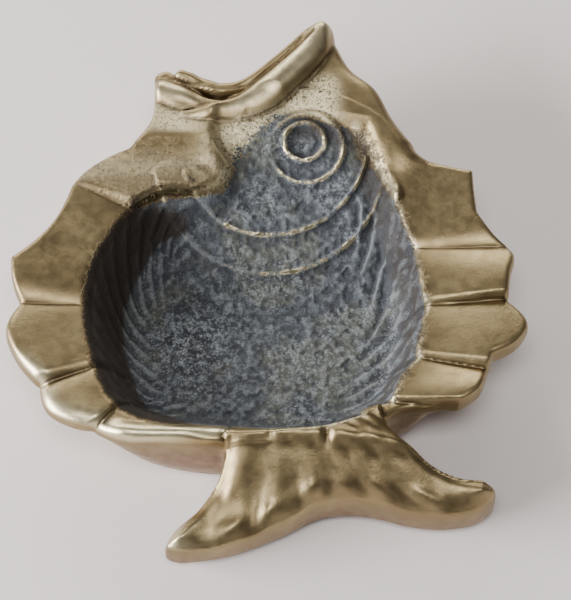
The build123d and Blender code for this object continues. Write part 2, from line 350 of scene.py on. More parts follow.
PUPIL = (pupil_low + pupil_high) / 2
PUPIL_RADIUS = (pupil_high[0] - pupil_low[0]) / 2 - RELIEF

# ---- the grid, and the parts of the plan that many forms fade over ----------------------------
PLAN_MARGIN = 2.5
HEIGHT_MARGIN = 1.0
low_corner, high_corner = (np.array(corner) / MM for corner in CAD_BOX)
grid_x = np.arange(low_corner[0] - PLAN_MARGIN, high_corner[0] + PLAN_MARGIN, STEP)
grid_y = np.arange(low_corner[1] - PLAN_MARGIN, high_corner[1] + PLAN_MARGIN, STEP)
grid_z = np.arange(low_corner[2] - HEIGHT_MARGIN, high_corner[2] + HEIGHT_MARGIN, STEP)
X, Y = np.meshgrid(grid_x, grid_y, indexing="ij")
RIGHT = ease(X, -4, 10)
REAR = ease(-Y, 20, 26)
LOW_RIGHT = RIGHT * (1 - ease(Y, 20, 27))


# ---- the forms on the casting; ease() takes the places between which a form fades in ----------
def fin_share(creases):
    """For each point: the ray it lies on, its share of the way across it, and its reach."""
    offsets, reaches = [], []
    for (x0, y0), (x1, y1) in creases:
        length = math.hypot(x1 - x0, y1 - y0)
        offsets.append(((X - x0) * (y1 - y0) - (Y - y0) * (x1 - x0)) / length)
        reaches.append(((X - x0) * (x1 - x0) + (Y - y0) * (y1 - y0)) / length)
    weights = [1 / (1 + offset**2) for offset in offsets]
    outward = sum(weight * reach for weight, reach in zip(weights, reaches)) / sum(weights)
    ray = np.zeros(X.shape)
    share = np.zeros(X.shape)
    for i, (one, other) in enumerate(zip(offsets, offsets[1:])):
        between = one * other < 0
        share = np.where(between, np.abs(one) / (np.abs(one) + np.abs(other) + TINY), share)
        ray = np.where(between, i, ray)
    return ray, share, outward


def ray_crown(ray, share):
    """The section of a fin: each ray swells from its upper crease and drops into the next."""
    swell = 1 - (1 - share / RAY_CREST) ** 2
    drop = 1 - ((share - RAY_CREST) / (1 - RAY_CREST)) ** 2
    return np.where(ray == 0, 1 - share**14, np.where(share < RAY_CREST, swell, drop))


def fin_map():
    """Height of the side fins: crowned rays between creases, rising towards their tips."""
    belly_ray, belly_share, belly_out = fin_share(BELLY_CREASES)
    dorsal_ray, dorsal_share, dorsal_out = fin_share(DORSAL_CREASES)
    side = ease(X, -3, 3)
    out = belly_out + (dorsal_out - belly_out) * side
    rise = 0.8 + 0.9 * ease(out, -2, 13)
    rays = ray_crown(belly_ray, belly_share) * (1 - side) + ray_crown(dorsal_ray, dorsal_share) * side
    fins = CREASE_Z + 0.5 * ease(out, 0, 14) + rise * rays + 0.12 * noise(6.0, 3)
    beside_head = ease(X, 2, 8) * ease(Y, 6, 12) * (dorsal_ray == 0) * (1 - dorsal_share) ** 1.6
    return fins + (NAPE_Z - fins) * beside_head


def tail_share():
    """Counts the flutes of the tail from its left side to each point."""
    root_x, root_y = FLUTE_ROOT
    lines = []
    for i, (end_x, end_y) in enumerate(TAIL_ENDS):
        start_x = root_x + FLUTE_PITCH * i
        lines.append(start_x + (end_x - start_x) * (root_y - Y) / (root_y - end_y))
    count = np.zeros(X.shape)
    for one, other in zip(lines, lines[1:]):
        count += np.clip((X - one) / np.maximum(other - one, 0.5), 0, 1)
    return count


def tail_map(tail):
    """Height of the tail: a soft fall from the rim, with flutes that end in low humps."""
    fall = 1 / (1 + np.exp((TAIL_DROP_Y - Y) / TAIL_DROP_REACH))
    count = tail_share() + 0.12 * noise(5.0, 5)
    flutes = 0.5 - 0.5 * np.cos(2 * math.pi * count)
    depth = (0.15 + 0.35 * ease(-Y, 27, 36)) * (1 + 0.5 * noise(7.0, 6))
    top = TAIL_END_Z + TAIL_RISE * fall + depth * (flutes - 0.5)
    root = peak(Y + 26.8 + 0.004 * (X - 4) ** 2, 0, 1.4) * ease(X, -8, -4)
    notch = peak(X, 11.6, 0.9) + 0.6 * peak(X, 2.0, 0.8)
    humps = flutes * peak(tail, -2.4, 1.3) * ease(-Y, 32, 36)
    return top + root * (1 - notch) + 0.45 * humps + 0.1 * noise(2.5, 8)


def head_maps(gape):
    """Height of the head, with the gape between its lips, and the distance to each lip."""
    skull = SKULL_Z + 0.9 * ease(X, 4, 15) * ease(Y, 34, 44) - 0.9 * ease(-X, -2, 14)
    lip_gap, lip_place = nearest(UPPER_LIP, X, Y)
    lip_start = ease(lip_place, 0, 6)
    lip_end = ease(lip_place, 4, 18)
    lip_radius = 0.8 + 0.9 * lip_start + 1.8 * lip_end
    upper_lip = 17.3 + 0.9 * lip_start - 1.5 * lip_end + 0.055 * lip_place + crown(lip_gap, lip_radius)
    jaw_gap, jaw_place = nearest(LOWER_LIP, X, Y)
    jaw_radius = 0.9 + 1.9 * ease(jaw_place, 0, 8)
    lower_lip = 17.0 - 0.04 * jaw_place + crown(jaw_gap, jaw_radius)
    far_gap, far_place = nearest(FAR_LIP, X, Y)
    far_radius = 1.1
    far_edge = 17.8 + 0.15 * np.maximum(far_place - 8, 0) + 0.9 * ease(-far_place, -8, 0)
    far_lip = far_edge - far_radius + crown(far_gap, far_radius)
    top = smooth_max(skull, upper_lip, 2.4 - lip_end)
    top = smooth_max(top, lower_lip, 0.7)
    top = smooth_max(top, far_lip, 0.5)
    hole = 4.5 * peak(X, -9.0, 1.7)
    far_wall = far_edge - 0.1 - 0.35 * far_gap - hole + 0.12 * noise(1.1, 51)
    cut = smooth_max(19.9 + 0.06 * (X + 8) + 2.6 * gape, far_wall, 0.4)
    return {
        "head_top": smooth_min(top, cut, 0.5),
        "upper_lip": lip_gap - lip_radius,
        "lower_lip": jaw_gap - jaw_radius,
    }


def scales(x, y, pitch_x, pitch_y, radius):
    """Overlapping scales: 0 under the edge of the next scale, 1 at a scale's free edge."""
    height = np.zeros(x.shape)
    rows = range(int((y.min() - radius) / pitch_y) - 1, int((y.max() + radius) / pitch_y) + 2)
    for row in rows:
        shift = pitch_x / 2 if row % 2 else 0.0
        across = (x + shift + pitch_x / 2) % pitch_x - pitch_x / 2
        reach = np.hypot(across, y - row * pitch_y)
        height = np.where(reach < radius, (reach / radius) ** 2, height)
    return height


def hollow_maps(rim, rim_place, fins):
    """The hollow: a floor, steep walls with ridges of scales, and the slope of the cheek."""
    ray, share, _ = fin_share(DORSAL_CREASES)
    jagged = 0.9 * np.sqrt(np.abs(np.sin(math.pi * share))) + 0.25 * noise(1.3, 15)
    brim = rim + jagged * LOW_RIGHT * (1 - REAR)
    wall = fins + 0.4 + (WALL_SLOPE + 0.2 * RIGHT) * brim
    cheek = FLOOR_Z + math.tan(CHEEK_ANGLE) * (Y - CHEEK_FOOT_Y)
    hollow = smooth_max(wall, cheek, 2.0)
    hollow = smooth_max(hollow, FLOOR_Z, 3.0)

    inward = np.maximum(-rim, 0)
    right_turn = 2 * (ray + share) - 0.30 * inward
    left_turn = -2 * (rim_place + 2.0 * inward) / SCALE_PITCH
    turn = (np.where(X > 0, right_turn, left_turn) + 0.06 * noise(4.0, 14)) % 1.0
    ridge = np.minimum(turn / RIDGE_CREST, ((1 - turn) / (1 - RIDGE_CREST)) ** 1.5)
    on_wall = ease(-rim, 13.0, 7.0) * ease(-rim, -0.2, 2.0)
    on_wall = on_wall * (1 - ease(Y, 21, 26)) * ease(np.abs(X), 10, 20)
    wavy_x = X + 0.5 * noise(4.0, 11)
    wavy_y = Y + 0.5 * noise(4.0, 12)
    scale = scales(wavy_x, wavy_y, pitch_x=8.2, pitch_y=3.0, radius=5.0)
    faint = 0.32 * (0.5 + 0.5 * noise(5.0, 13)) * ease(-rim, 3.0, 8.0)
    crust = 0.15 * noise(0.9, 21) + 0.12 * noise(0.5, 22) + 0.20 * noise(2.2, 23) * (1 - on_wall)
    hollow = hollow + SCALE_HEIGHT * on_wall * ridge
    hollow = hollow + faint * (1 - on_wall) * (scale - 0.4) + crust * ease(-rim, 0.5, 3)
    return {"hollow": hollow, "brim": brim, "on_wall": on_wall, "ridge": ridge}


def pad_map(pectoral, around):
    """Height of the pectoral fin, which stands a little above what is around it."""
    pad = PAD_Z + 0.02 * (Y - 22) + 0.5 * ease(-pectoral, 0, 5) - 1.3 * ease(X, -16, -6)
    pad = pad + 0.06 * noise(0.45, 31)
    pad = pad - OUTSIDE_FALL * np.maximum(pectoral, 0) - 1.2 * ease(pectoral, -1.2, 0.3)
    return pad - ease(X, -18, -10) * np.maximum(pad - blur(around, 10) - 0.55, 0)


def bare_top(maps):
    """The top of the casting without its raised lines: each form falls off at its outline."""
    top = maps["fins"] - OUTSIDE_FALL * np.maximum(maps["body"], 0)
    tail_top = tail_map(maps["tail"]) - OUTSIDE_FALL * np.maximum(maps["tail"], 0)
    top = smooth_max(top, tail_top, 1.0)
    head_top = maps["head_top"] - 0.75 * np.maximum(maps["head"], 0) - 24 * ease(-Y, -30, -14)
    top = smooth_max(top, head_top, 2.5)
    crest_gap, crest_place = nearest(CREST, X, Y)
    top = top + 1.1 * bead(crest_gap, 1.9) * ease(crest_place, 0, 4)
    roll_gap, roll_place = nearest(ROLLED_LIP, X, Y)
    top = top + bead(roll_gap, 2.2) * ease(roll_place, 0, 4) * ease(-roll_place, -19, -13)
    top = smooth_min(top, maps["hollow"], 3.4 - 2.6 * LOW_RIGHT - 0.6 * REAR)
    top = smooth_max(top, pad_map(maps["pectoral"], top), 0.5)
    near_nape = spot(NAPE[0] - 2, NAPE[1] - 2, 5.5, 6.0)
    return top + (blur(top, 60) - top) * near_nape


def arc_circle(start, middle, end):
    """Centre and radius of the circle through three points."""
    (ax, ay), (bx, by), (cx, cy) = start, middle, end
    d = 2 * (ax * (by - cy) + bx * (cy - ay) + cx * (ay - by))
    a2, b2, c2 = ax**2 + ay**2, bx**2 + by**2, cx**2 + cy**2
    x = (a2 * (by - cy) + b2 * (cy - ay) + c2 * (ay - by)) / d
    y = (a2 * (cx - bx) + b2 * (ax - cx) + c2 * (bx - ax)) / d
    return x, y, math.hypot(ax - x, ay - y)


def up_cheek(y):
    """Distance up the slope of the cheek from its foot."""
    return (y - CHEEK_FOOT_Y) / math.cos(CHEEK_ANGLE)


def from_point(point):
    """Distance over the slope of the cheek from a point."""
    return np.hypot(X - point[0], up_cheek(Y) - up_cheek(point[1]))


def relief_gaps():
    """Distance over the cheek to the middle of each raised line, and the gill plates."""
    gaps = {
        "eye_outer_ring": np.abs(from_point(EYE) - EYE_RADIUS),
        "eye_inner_ring": np.abs(from_point(PUPIL) - PUPIL_RADIUS),
    }
    plates = np.zeros(X.shape)
    for name, points in GILLS.items():
        arc_x, arc_y, radius = arc_circle(*points)
        turns = np.arctan2([p[1] - arc_y for p in points], [p[0] - arc_x for p in points])
        spare = 0.10 * (turns[2] - turns[0])
        turns = np.linspace(turns[0] - 0.9 * spare, turns[2] + spare, 30)
        line = np.stack([arc_x + radius * np.cos(turns), arc_y + radius * np.sin(turns)], axis=1)
        gaps[name], _ = nearest(line, X, up_cheek(Y))
        within = radius - np.hypot(X - arc_x, up_cheek(Y) - arc_y)
        beside = ease(gaps[name] - np.abs(within), 1.5, 0.0)
        slope = np.exp(-np.maximum(within, 0) / 4.0)
        plates = plates + PLATE_HEIGHT * ease(within, -0.5, 0.3) * slope * beside
    return gaps, plates


def line_maps(pectoral, top):
    """The top with its raised lines, rubbed to uneven heights, and the band that each line's piece takes.
    """
    gaps, plates = relief_gaps()
    wear_and_gleam = 0.8 + 0.25 * noise(2.2, 41) + 0.15 * noise(0.7, 42)
    broken = 1 - 0.75 * ease(EYE[0] - X, 3.0, 6.0) * ease(Y - EYE[1], -7, -2)
    faded = (0.5 + 0.5 * ease(X, -12, 2)) * (0.85 + 0.25 * noise(1.1, 44))
    line = np.zeros(X.shape)
    for name, gap in gaps.items():
        mark = bead(gap, LINE_WIDTHS[name])
        if name == "eye_outer_ring":
            mark = mark * broken
        elif name in GILLS:
            mark = mark * faded
        line = np.maximum(line, mark * ease(pectoral, 0.0, 1.0))
    top = top + plates + LINE_HEIGHT * line * wear_and_gleam
    top = top - PUPIL_DEPTH * ease(-from_point(PUPIL), -PUPIL_RADIUS, -PUPIL_RADIUS + 1.2)
    bands = {name: gap - RELIEF_WIDTH for name, gap in gaps.items()}
    return {"top": top, "line": line, "wear_and_gleam": wear_and_gleam, **bands}


def under_map(maps):
    """Height of the underside: a flat foot, flaring walls, thin fins and the throat."""
    flare = FOOT_FLARE * np.maximum(maps["foot"], 0)
    under = smooth_min(flare, np.minimum(maps["fins"], 16.0) - FIN_THICKNESS, 2.0)
    under_tail = np.minimum(flare, 1.8)
    under_head = np.minimum(flare, 0.28 * np.maximum(Y - 24, 0))
    under = under + (np.minimum(under, under_tail) - under) * ease(-maps["tail"], -2.5, -0.5)
    return under + (np.minimum(under, under_head) - under) * ease(-maps["head"], -2.5, -0.5)


def edge_maps(body, head, tail):
    """Distance to the casting's edge, and how far its rounding reaches in from there."""
    edge = smooth_min(smooth_min(body, tail, 1.5), head, 2.5)
    roll = 1.4 + 2.2 * ease(-tail, -1, 1) + 2.6 * ease(-head, -9, 3) * ease(X, 8, 14)
    roll = roll + 2.4 * ease(-X, 24, 31) * ease(-Y, 10, 18)
    roll = roll + 0.8 * ease(-X, 36, 42) * ease(-Y, 0, 8)
    return {"edge": edge, "roll": roll}


# ---- how the metal has aged, and where light and shade are painted on it -----------------------
def grain_map(maps):
    """How grainy the metal is: along the patina's shore, on the pectoral and beside it."""
    pectoral, shore = maps["pectoral"], maps["patina"]
    grain = ease(shore, -5.0, -0.5) * ease(-shore, -8.0, -3.0) * ease(-X, -17.0, -12.0)
    grain = grain * ease(Y, 22.0, 27.0)
    on_pad = ease(-pectoral, -0.5, 0.5) * ease(-Y, -33.0, -27.0) * ease(X, -30, -24)
    grain = np.maximum(grain, 0.45 * on_pad)
    grain = np.maximum(grain, spot(-16, 38, 6, 5) * ease(pectoral, 0, 2))
    grain = grain * ease(maps["upper_lip"], -1.0, 0.5) * ease(maps["lower_lip"], -1.0, 0.5)
    return grain * np.where(pectoral < 0, 0.5, 1.0)


def wear_and_highlight_map(maps):
    """How brightly the metal shows, as wear and as painted highlights: on its edges, its raised lines and
    its crests.
    """
    _, share, _ = fin_share(DORSAL_CREASES)
    crest_gap, _ = nearest(CREST, X, Y)
    roll_gap, _ = nearest(ROLLED_LIP, X, Y)
    # wear and painted highlights along the lips, the crest, the right rim, the scale ridges and the rolled
    # lip
    upper = ease(-maps["upper_lip"], 0.8, 2.4)
    lower = 0.8 * ease(-maps["lower_lip"], 0.6, 1.8)
    sparkle = 0.55 + 0.45 * noise(0.9, 45)
    corner = peak(np.minimum(share, 1 - share), 0, 0.10)
    rim_line = LOW_RIGHT * peak(maps["brim"], -0.1, 0.34 + 0.3 * corner) * np.maximum(sparkle, corner)
    scale_line = maps["on_wall"] * maps["ridge"] ** 3 * (0.45 + 0.45 * noise(1.0, 43))
    scale_line = scale_line * RIGHT * ease(np.minimum(maps["rim"], 0), -7.0, -1.5)
    # painted highlight: the lower left bevel is brightened to stand in for a reflection of the light from
    # the left
    bevel_highlight = ease(-X, 8, 18) * ease(-Y, 9, 16) * peak(maps["edge"], -1.0, 1.7)
    return np.maximum.reduce([
        0.9 * bevel_highlight,
        maps["line"] ** 0.7 * maps["wear_and_gleam"],
        rim_line,
        0.5 * np.maximum(upper, lower),
        0.8 * bead(crest_gap, 1.3),
        scale_line,
        0.8 * bead(roll_gap, 1.6),
    ])  # fmt: skip


def patina_map(maps):
    """Where patina has settled: in the hollow, up to its brim and to the shore on the cheek."""
    in_hollow = ease(-maps["brim"], 0.1, 2.2 - 1.2 * LOW_RIGHT)
    return in_hollow * ease(maps["pectoral"], -1.4, 0.8) * ease(-maps["patina"], -2.5, 2.0)


def soot_and_shade_map(rim, pectoral):
    """Where it is darker: soot and painted shade under the brim, strong on the left wall, weaker on the
    right one, and a little darker on the pad.
    """
    # painted shade and soot under the brim, strongest on the left wall
    under_brim = ease(-rim, -2.2, 2.2) * ease(-rim, 7.5, 3.5)
    on_left = ease(-X, 8, 18) * ease(-Y, -24, -16)
    return under_brim * (on_left + 0.36 * RIGHT) + 0.22 * ease(-pectoral, -0.5, 0.5)


OUTLINES = {
    "body": BODY,
    "head": HEAD,
    "tail": TAIL,
    "pectoral": PECTORAL,
    "foot": FOOT,
    "gape": GAPE,
    "patina": PATINA,
}


def make_maps():
    """Works out every map of the casting over the plan grid."""
    maps = {name: region(loop, X, Y)[0] for name, loop in OUTLINES.items()}
    maps["rim"], rim_place = region(RIM, X, Y)
    maps["x"] = X
    maps["behind"] = Y + 22.5 + 0.004 * (X - 6) ** 2
    maps["fins"] = fin_map()
    maps.update(hollow_maps(maps["rim"], rim_place, maps["fins"]))
    maps.update(head_maps(maps["gape"]))
    maps.update(edge_maps(maps["body"], maps["head"], maps["tail"]))
    maps.update(line_maps(maps["pectoral"], bare_top(maps)))
    under = under_map(maps)
    maps["under"] = np.maximum(under, 0)
    maps["top_slope"] = steepness(blur(maps["top"], 1))
    maps["under_slope"] = steepness(under)
    maps["dip"] = blur(maps["top"], 6) - maps["top"]
    maps["hollowed"] = patina_map(maps)
    maps["grain"] = grain_map(maps)
    maps["wear_and_highlight"] = wear_and_highlight_map(maps)
    maps["soot_and_shade"] = soot_and_shade_map(maps["rim"], maps["pectoral"])
    maps["ash_bed"] = spot(-13, -3, 9, 10)
    return maps


# ---- the solid, and the part of it that each piece is ------------------------------------------
HEAD_OVERLAP = 0.6
TAIL_OVERLAP = 0.4
RIM_OVERLAP = 0.4
SKIN_MAPS = ("top", "top_slope", "under", "under_slope", "edge", "roll")
CUT_MAPS = ("head", "tail", "pectoral", "rim", "upper_lip", "lower_lip", "behind", "x")
CLAIM_MAPS = SKIN_MAPS + CUT_MAPS + RELIEF_NAMES
AGE_MAPS = ("top", "hollowed", "dip", "soot_and_shade", "grain", "wear_and_highlight", "ash_bed")


def skin(maps, z):
    """Distance to the casting's skin at height z, negative inside."""
    above = (z - maps["top"]) / maps["top_slope"]
    below = (maps["under"] - z) / maps["under_slope"]
    side = smooth_max(above, maps["edge"], maps["roll"])
    return smooth_max(side, below, 0.9)


def shallow(maps, z, names):
    """The claim of the raised lines among names: a band around each, just under the top."""
    band = np.minimum.reduce([maps[name] for name in names])
    return np.maximum(band, maps["top"] - RELIEF_DEPTH - z)


def claim(name, maps, z):
    """Distance to the space that a piece takes of the casting, negative inside."""
    relief = shallow(maps, z, RELIEF_NAMES)
    if name in RELIEF_NAMES:
        first = RELIEF_NAMES[: RELIEF_NAMES.index(name)]
        own = shallow(maps, z, (name,))
        return np.maximum(own, -shallow(maps, z, first)) if first else own
    upper = np.maximum(maps["upper_lip"], LIP_BASE_Z - z)
    lower = np.maximum(maps["lower_lip"], LIP_BASE_Z - z)
    if name == "upper_lip":
        return upper
    if name == "lower_lip":
        return np.maximum(lower, -upper)
    pectoral = np.maximum(maps["pectoral"], FIN_BASE_Z - z)
    if name == "pectoral_fin":
        return pectoral
    head = maps["head"] - HEAD_OVERLAP
    if name == "head":
        taken = np.minimum.reduce([upper, lower, relief, pectoral])
        return np.maximum(head, -taken)
    tail = np.maximum(maps["tail"] - TAIL_OVERLAP, maps["behind"])
    if name == "tail_fin":
        return np.maximum(tail, -head)
    fins = np.maximum(FIN_BASE_Z - z, -maps["rim"] - RIM_OVERLAP)
    taken = np.minimum(np.minimum(relief, pectoral), np.minimum(head, tail))
    if name == "bowl":
        return np.maximum(-fins, -taken)
    side = maps["x"] if name == "belly_fin" else -maps["x"]
    return np.maximum(np.maximum(fins, side), -taken)


MAPS = make_maps()
CASTING = skin({key: MAPS[key][:, :, None] for key in SKIN_MAPS}, grid_z[None, None, :])


# ---- meshing -----------------------------------------------------------------------------------
SETTLE_ROUNDS = 4
NEAR_BOTH = 0.75 * STEP  # a point this close to skin and cut goes to the line where they meet
LEAST_SPREAD = 0.05  # below this, skin and cut run too nearly side by side to meet in a line
LONGEST_MOVE = 0.5 * STEP
LONGEST_DRIFT = 0.8 * STEP
ON_SURFACE = 0.3 * STEP
SKIN_PREFERENCE = 1e-3


def sample(points, names):
    """Reads maps between their grid points."""
    u = np.clip((points[:, 0] - grid_x[0]) / STEP, 0, len(grid_x) - 1.001)
    v = np.clip((points[:, 1] - grid_y[0]) / STEP, 0, len(grid_y) - 1.001)
    i, j = u.astype(int), v.astype(int)
    s, t = u - i, v - j
    read = {}
    for name in names:
        m = MAPS[name]
        low = m[i, j] * (1 - t) + m[i, j + 1] * t
        high = m[i + 1, j] * (1 - t) + m[i + 1, j + 1] * t
        read[name] = low * (1 - s) + high * s
    return read


def surface_net(field):
    """Meshes the zero surface of a field on the grid: one point in each cell it crosses."""
    sign = field < 0
    cells = tuple(n - 1 for n in field.shape)
    total = np.zeros(cells + (3,), np.float32)
    hits = np.zeros(cells, np.int16)
    faces = []
    for axis in range(3):
        near = [slice(None)] * 3
        far = [slice(None)] * 3
        near[axis], far[axis] = slice(0, -1), slice(1, None)
        near, far = tuple(near), tuple(far)
        where = np.argwhere(sign[near] != sign[far])
        start = field[near][tuple(where.T)]
        end = field[far][tuple(where.T)]
        place = where.astype(np.float32)
        place[:, axis] += start / (start - end)
        u, v = [k for k in range(3) if k != axis]
        across = where[:, (u, v)]
        inner = np.all((across > 0) & (across < np.array(field.shape)[[u, v]] - 1), axis=1)
        where, place, start = where[inner], place[inner], start[inner]
        corners = []
        for du, dv in ((-1, -1), (0, -1), (0, 0), (-1, 0)):
            cell = where.copy()
            cell[:, u] += du
            cell[:, v] += dv
            np.add.at(hits, tuple(cell.T), 1)
            np.add.at(total, tuple(cell.T), place)
            corners.append(np.ravel_multi_index(tuple(cell.T), cells))
        quads = np.stack(corners, axis=1)
        keep = (start < 0) ^ (axis == 1)
        quads[~keep] = quads[~keep][:, ::-1]
        faces.append(quads)
    used, quads = np.unique(np.vstack(faces), return_inverse=True)
    points = total.reshape(-1, 3)[used] / hits.reshape(-1, 1)[used]
    return points, quads.reshape(-1, 4)


def gradient(function, points, size=0.05):
    """Central differences of a function of points."""
    slopes = []
    for axis in range(3):
        step = np.zeros(3)
        step[axis] = size
        slopes.append((function(points + step) - function(points - step)) / (2 * size))
    return np.stack(slopes, axis=1)


def lengths(vectors):
    """The length of each vector, never quite zero."""
    return np.maximum(np.linalg.norm(vectors, axis=1, keepdims=True), TINY)


def settle(home, on_skin, on_cut):
    """Moves points onto the casting's skin, the piece's cut, or the line where both meet."""
    points = home.copy()
    for _ in range(SETTLE_ROUNDS):
        to_skin, to_cut = on_skin(points), on_cut(points)
        skin_slope, cut_slope = gradient(on_skin, points), gradient(on_cut, points)
        skin_square = np.maximum((skin_slope**2).sum(axis=1), LEAST_SLOPE)
        cut_square = np.maximum((cut_slope**2).sum(axis=1), LEAST_SLOPE)
        shared = (skin_slope * cut_slope).sum(axis=1)
        spread = skin_square * cut_square - shared**2
        both = (np.abs(to_skin) < NEAR_BOTH) & (np.abs(to_cut) < NEAR_BOTH)
        both &= spread > LEAST_SPREAD * skin_square * cut_square
        only_skin = (to_skin >= to_cut) & ~both
        safe_spread = np.where(both, spread, 1)
        by_skin = (to_skin * cut_square - to_cut * shared) / safe_spread
        by_skin = np.where(both, by_skin, np.where(only_skin, to_skin / skin_square, 0))
        by_cut = (to_cut * skin_square - to_skin * shared) / safe_spread
        by_cut = np.where(both, by_cut, np.where(only_skin, 0, to_cut / cut_square))
        move = -(by_skin[:, None] * skin_slope + by_cut[:, None] * cut_slope)
        points = points + move * np.minimum(1, LONGEST_MOVE / lengths(move))
    drift = points - home
    return home + drift * np.minimum(1, LONGEST_DRIFT / lengths(drift))


def shade(mesh, points, on_skin, on_cut):
    """Gives each corner of each face the direction of the skin or of the cut under it."""
    skin_way, cut_way = gradient(on_skin, points), gradient(on_cut, points)
    skin_way /= lengths(skin_way)
    cut_way /= lengths(cut_way)
    corners = np.zeros(len(mesh.loops), np.int32)
    mesh.loops.foreach_get("vertex_index", corners)
    flats = np.zeros(len(mesh.polygons) * 3, np.float32)
    mesh.polygons.foreach_get("normal", flats)
    flats = np.repeat(flats.reshape(-1, 3), 4, axis=0)
    with_skin = (skin_way[corners] * flats).sum(axis=1) + SKIN_PREFERENCE
    with_cut = (cut_way[corners] * flats).sum(axis=1)
    as_skin = with_skin >= with_cut
    as_skin &= np.abs(on_skin(points)[corners]) < ON_SURFACE
    as_skin |= np.abs(on_cut(points)[corners]) > ON_SURFACE
    normals = np.where(as_skin[:, None], skin_way[corners], cut_way[corners])
    mesh.polygons.foreach_set("use_smooth", np.ones(len(mesh.polygons), bool))
    mesh.normals_split_custom_set(normals.tolist())


def paint(mesh, points):
    """Stores on each point how the metal has aged there, and the highlights, shade and reflection painted
    there, for the materials.
    """
    read = sample(points, AGE_MAPS)
    on_top = ease(points[:, 2] - read["top"], -2.0, -0.8)
    layers = {
        "patina": read["hollowed"] * on_top * np.maximum(1 - 1.15 * read["wear_and_highlight"], 0),
        "grain": read["grain"] * on_top,
        # wear and painted highlights
        "wear_and_highlight": read["wear_and_highlight"] * on_top,
        # soot and painted shade
        "soot_and_shade": read["soot_and_shade"] * on_top,
        "dip": np.clip(read["dip"] * 6, -1, 1) * on_top,
        # painted reddish reflection and shade, deeper below the top
        "painted_red_reflection": ease(read["top"] - points[:, 2], 1.0, 8.0),
        "ash_bed": read["ash_bed"] * on_top,
    }
    for name, values in layers.items():
        layer = mesh.attributes.new(name, "FLOAT", "POINT")
        layer.data.foreach_set("value", values.astype(np.float32))


def mesh_piece(name):
    """Builds one piece as a closed mesh whose shading follows the casting's skin."""

    def on_skin(points):
        return skin(sample(points, SKIN_MAPS), points[:, 2])

    def on_cut(points):
        return claim(name, sample(points, CLAIM_MAPS), points[:, 2])

    layer = {key: MAPS[key][:, :, None] for key in CLAIM_MAPS}
    whole = np.maximum(CASTING, claim(name, layer, grid_z[None, None, :]))
    filled = np.argwhere(whole < 0)
    low = np.maximum(filled.min(axis=0) - 2, 0)
    high = filled.max(axis=0) + 3
    points, quads = surface_net(whole[low[0] : high[0], low[1] : high[1], low[2] : high[2]])
    start = np.array([grid_x[low[0]], grid_y[low[1]], grid_z[low[2]]])
    points = settle(points.astype(float) * STEP + start, on_skin, on_cut)

    mesh = bpy.data.meshes.new(name)
    mesh.from_pydata((points * MM).tolist(), [], quads.tolist())
    mesh.update()
    shade(mesh, points, on_skin, on_cut)
    paint(mesh, points)
    return mesh


# ---- materials ---------------------------------------------------------------------------------
BRASS = (0.375, 0.295, 0.158)
BRASS_DEEP = (0.28, 0.212, 0.112)
# worn brass, also the colour of the painted highlights
BRASS_WORN_AND_LIT = (0.84, 0.77, 0.52)
# a painted reddish reflection and shade for the sides and undersides
RED_REFLECTION_SHADE = (0.245, 0.160, 0.115)
# tarnish, also the colour of the painted shade in dips and under the brim
TARNISH_AND_SHADE = (0.115, 0.080, 0.045)
# soot, also the colour of the painted shade under the brim
SOOT_AND_SHADE = (0.026, 0.018, 0.013)
PATINA_DARK = (0.036, 0.040, 0.050)
PATINA_BLUE = (0.112, 0.130, 0.148)
PATINA_GREEN = (0.105, 0.110, 0.085)
ASH = (0.40, 0.43, 0.46)

# layers of ageing, and of painted highlights, shade and reflection
LAYERS = ("patina", "grain", "wear_and_highlight", "soot_and_shade", "dip", "painted_red_reflection", "ash_bed")
# The mottling of the metal: each texture's scale per millimetre, detail and roughness.
CLOUDS = {
    "beds": (0.13, 2.0, 0.55),
    "broad": (0.10, 4.0, 0.55),
    "middle": (0.55, 4.0, 0.55),
    "specks": (1.7, 2.0, 0.6),
    "fine": (2.4, 4.0, 0.65),
    "grit": (5.5, 3.0, 0.7),
}


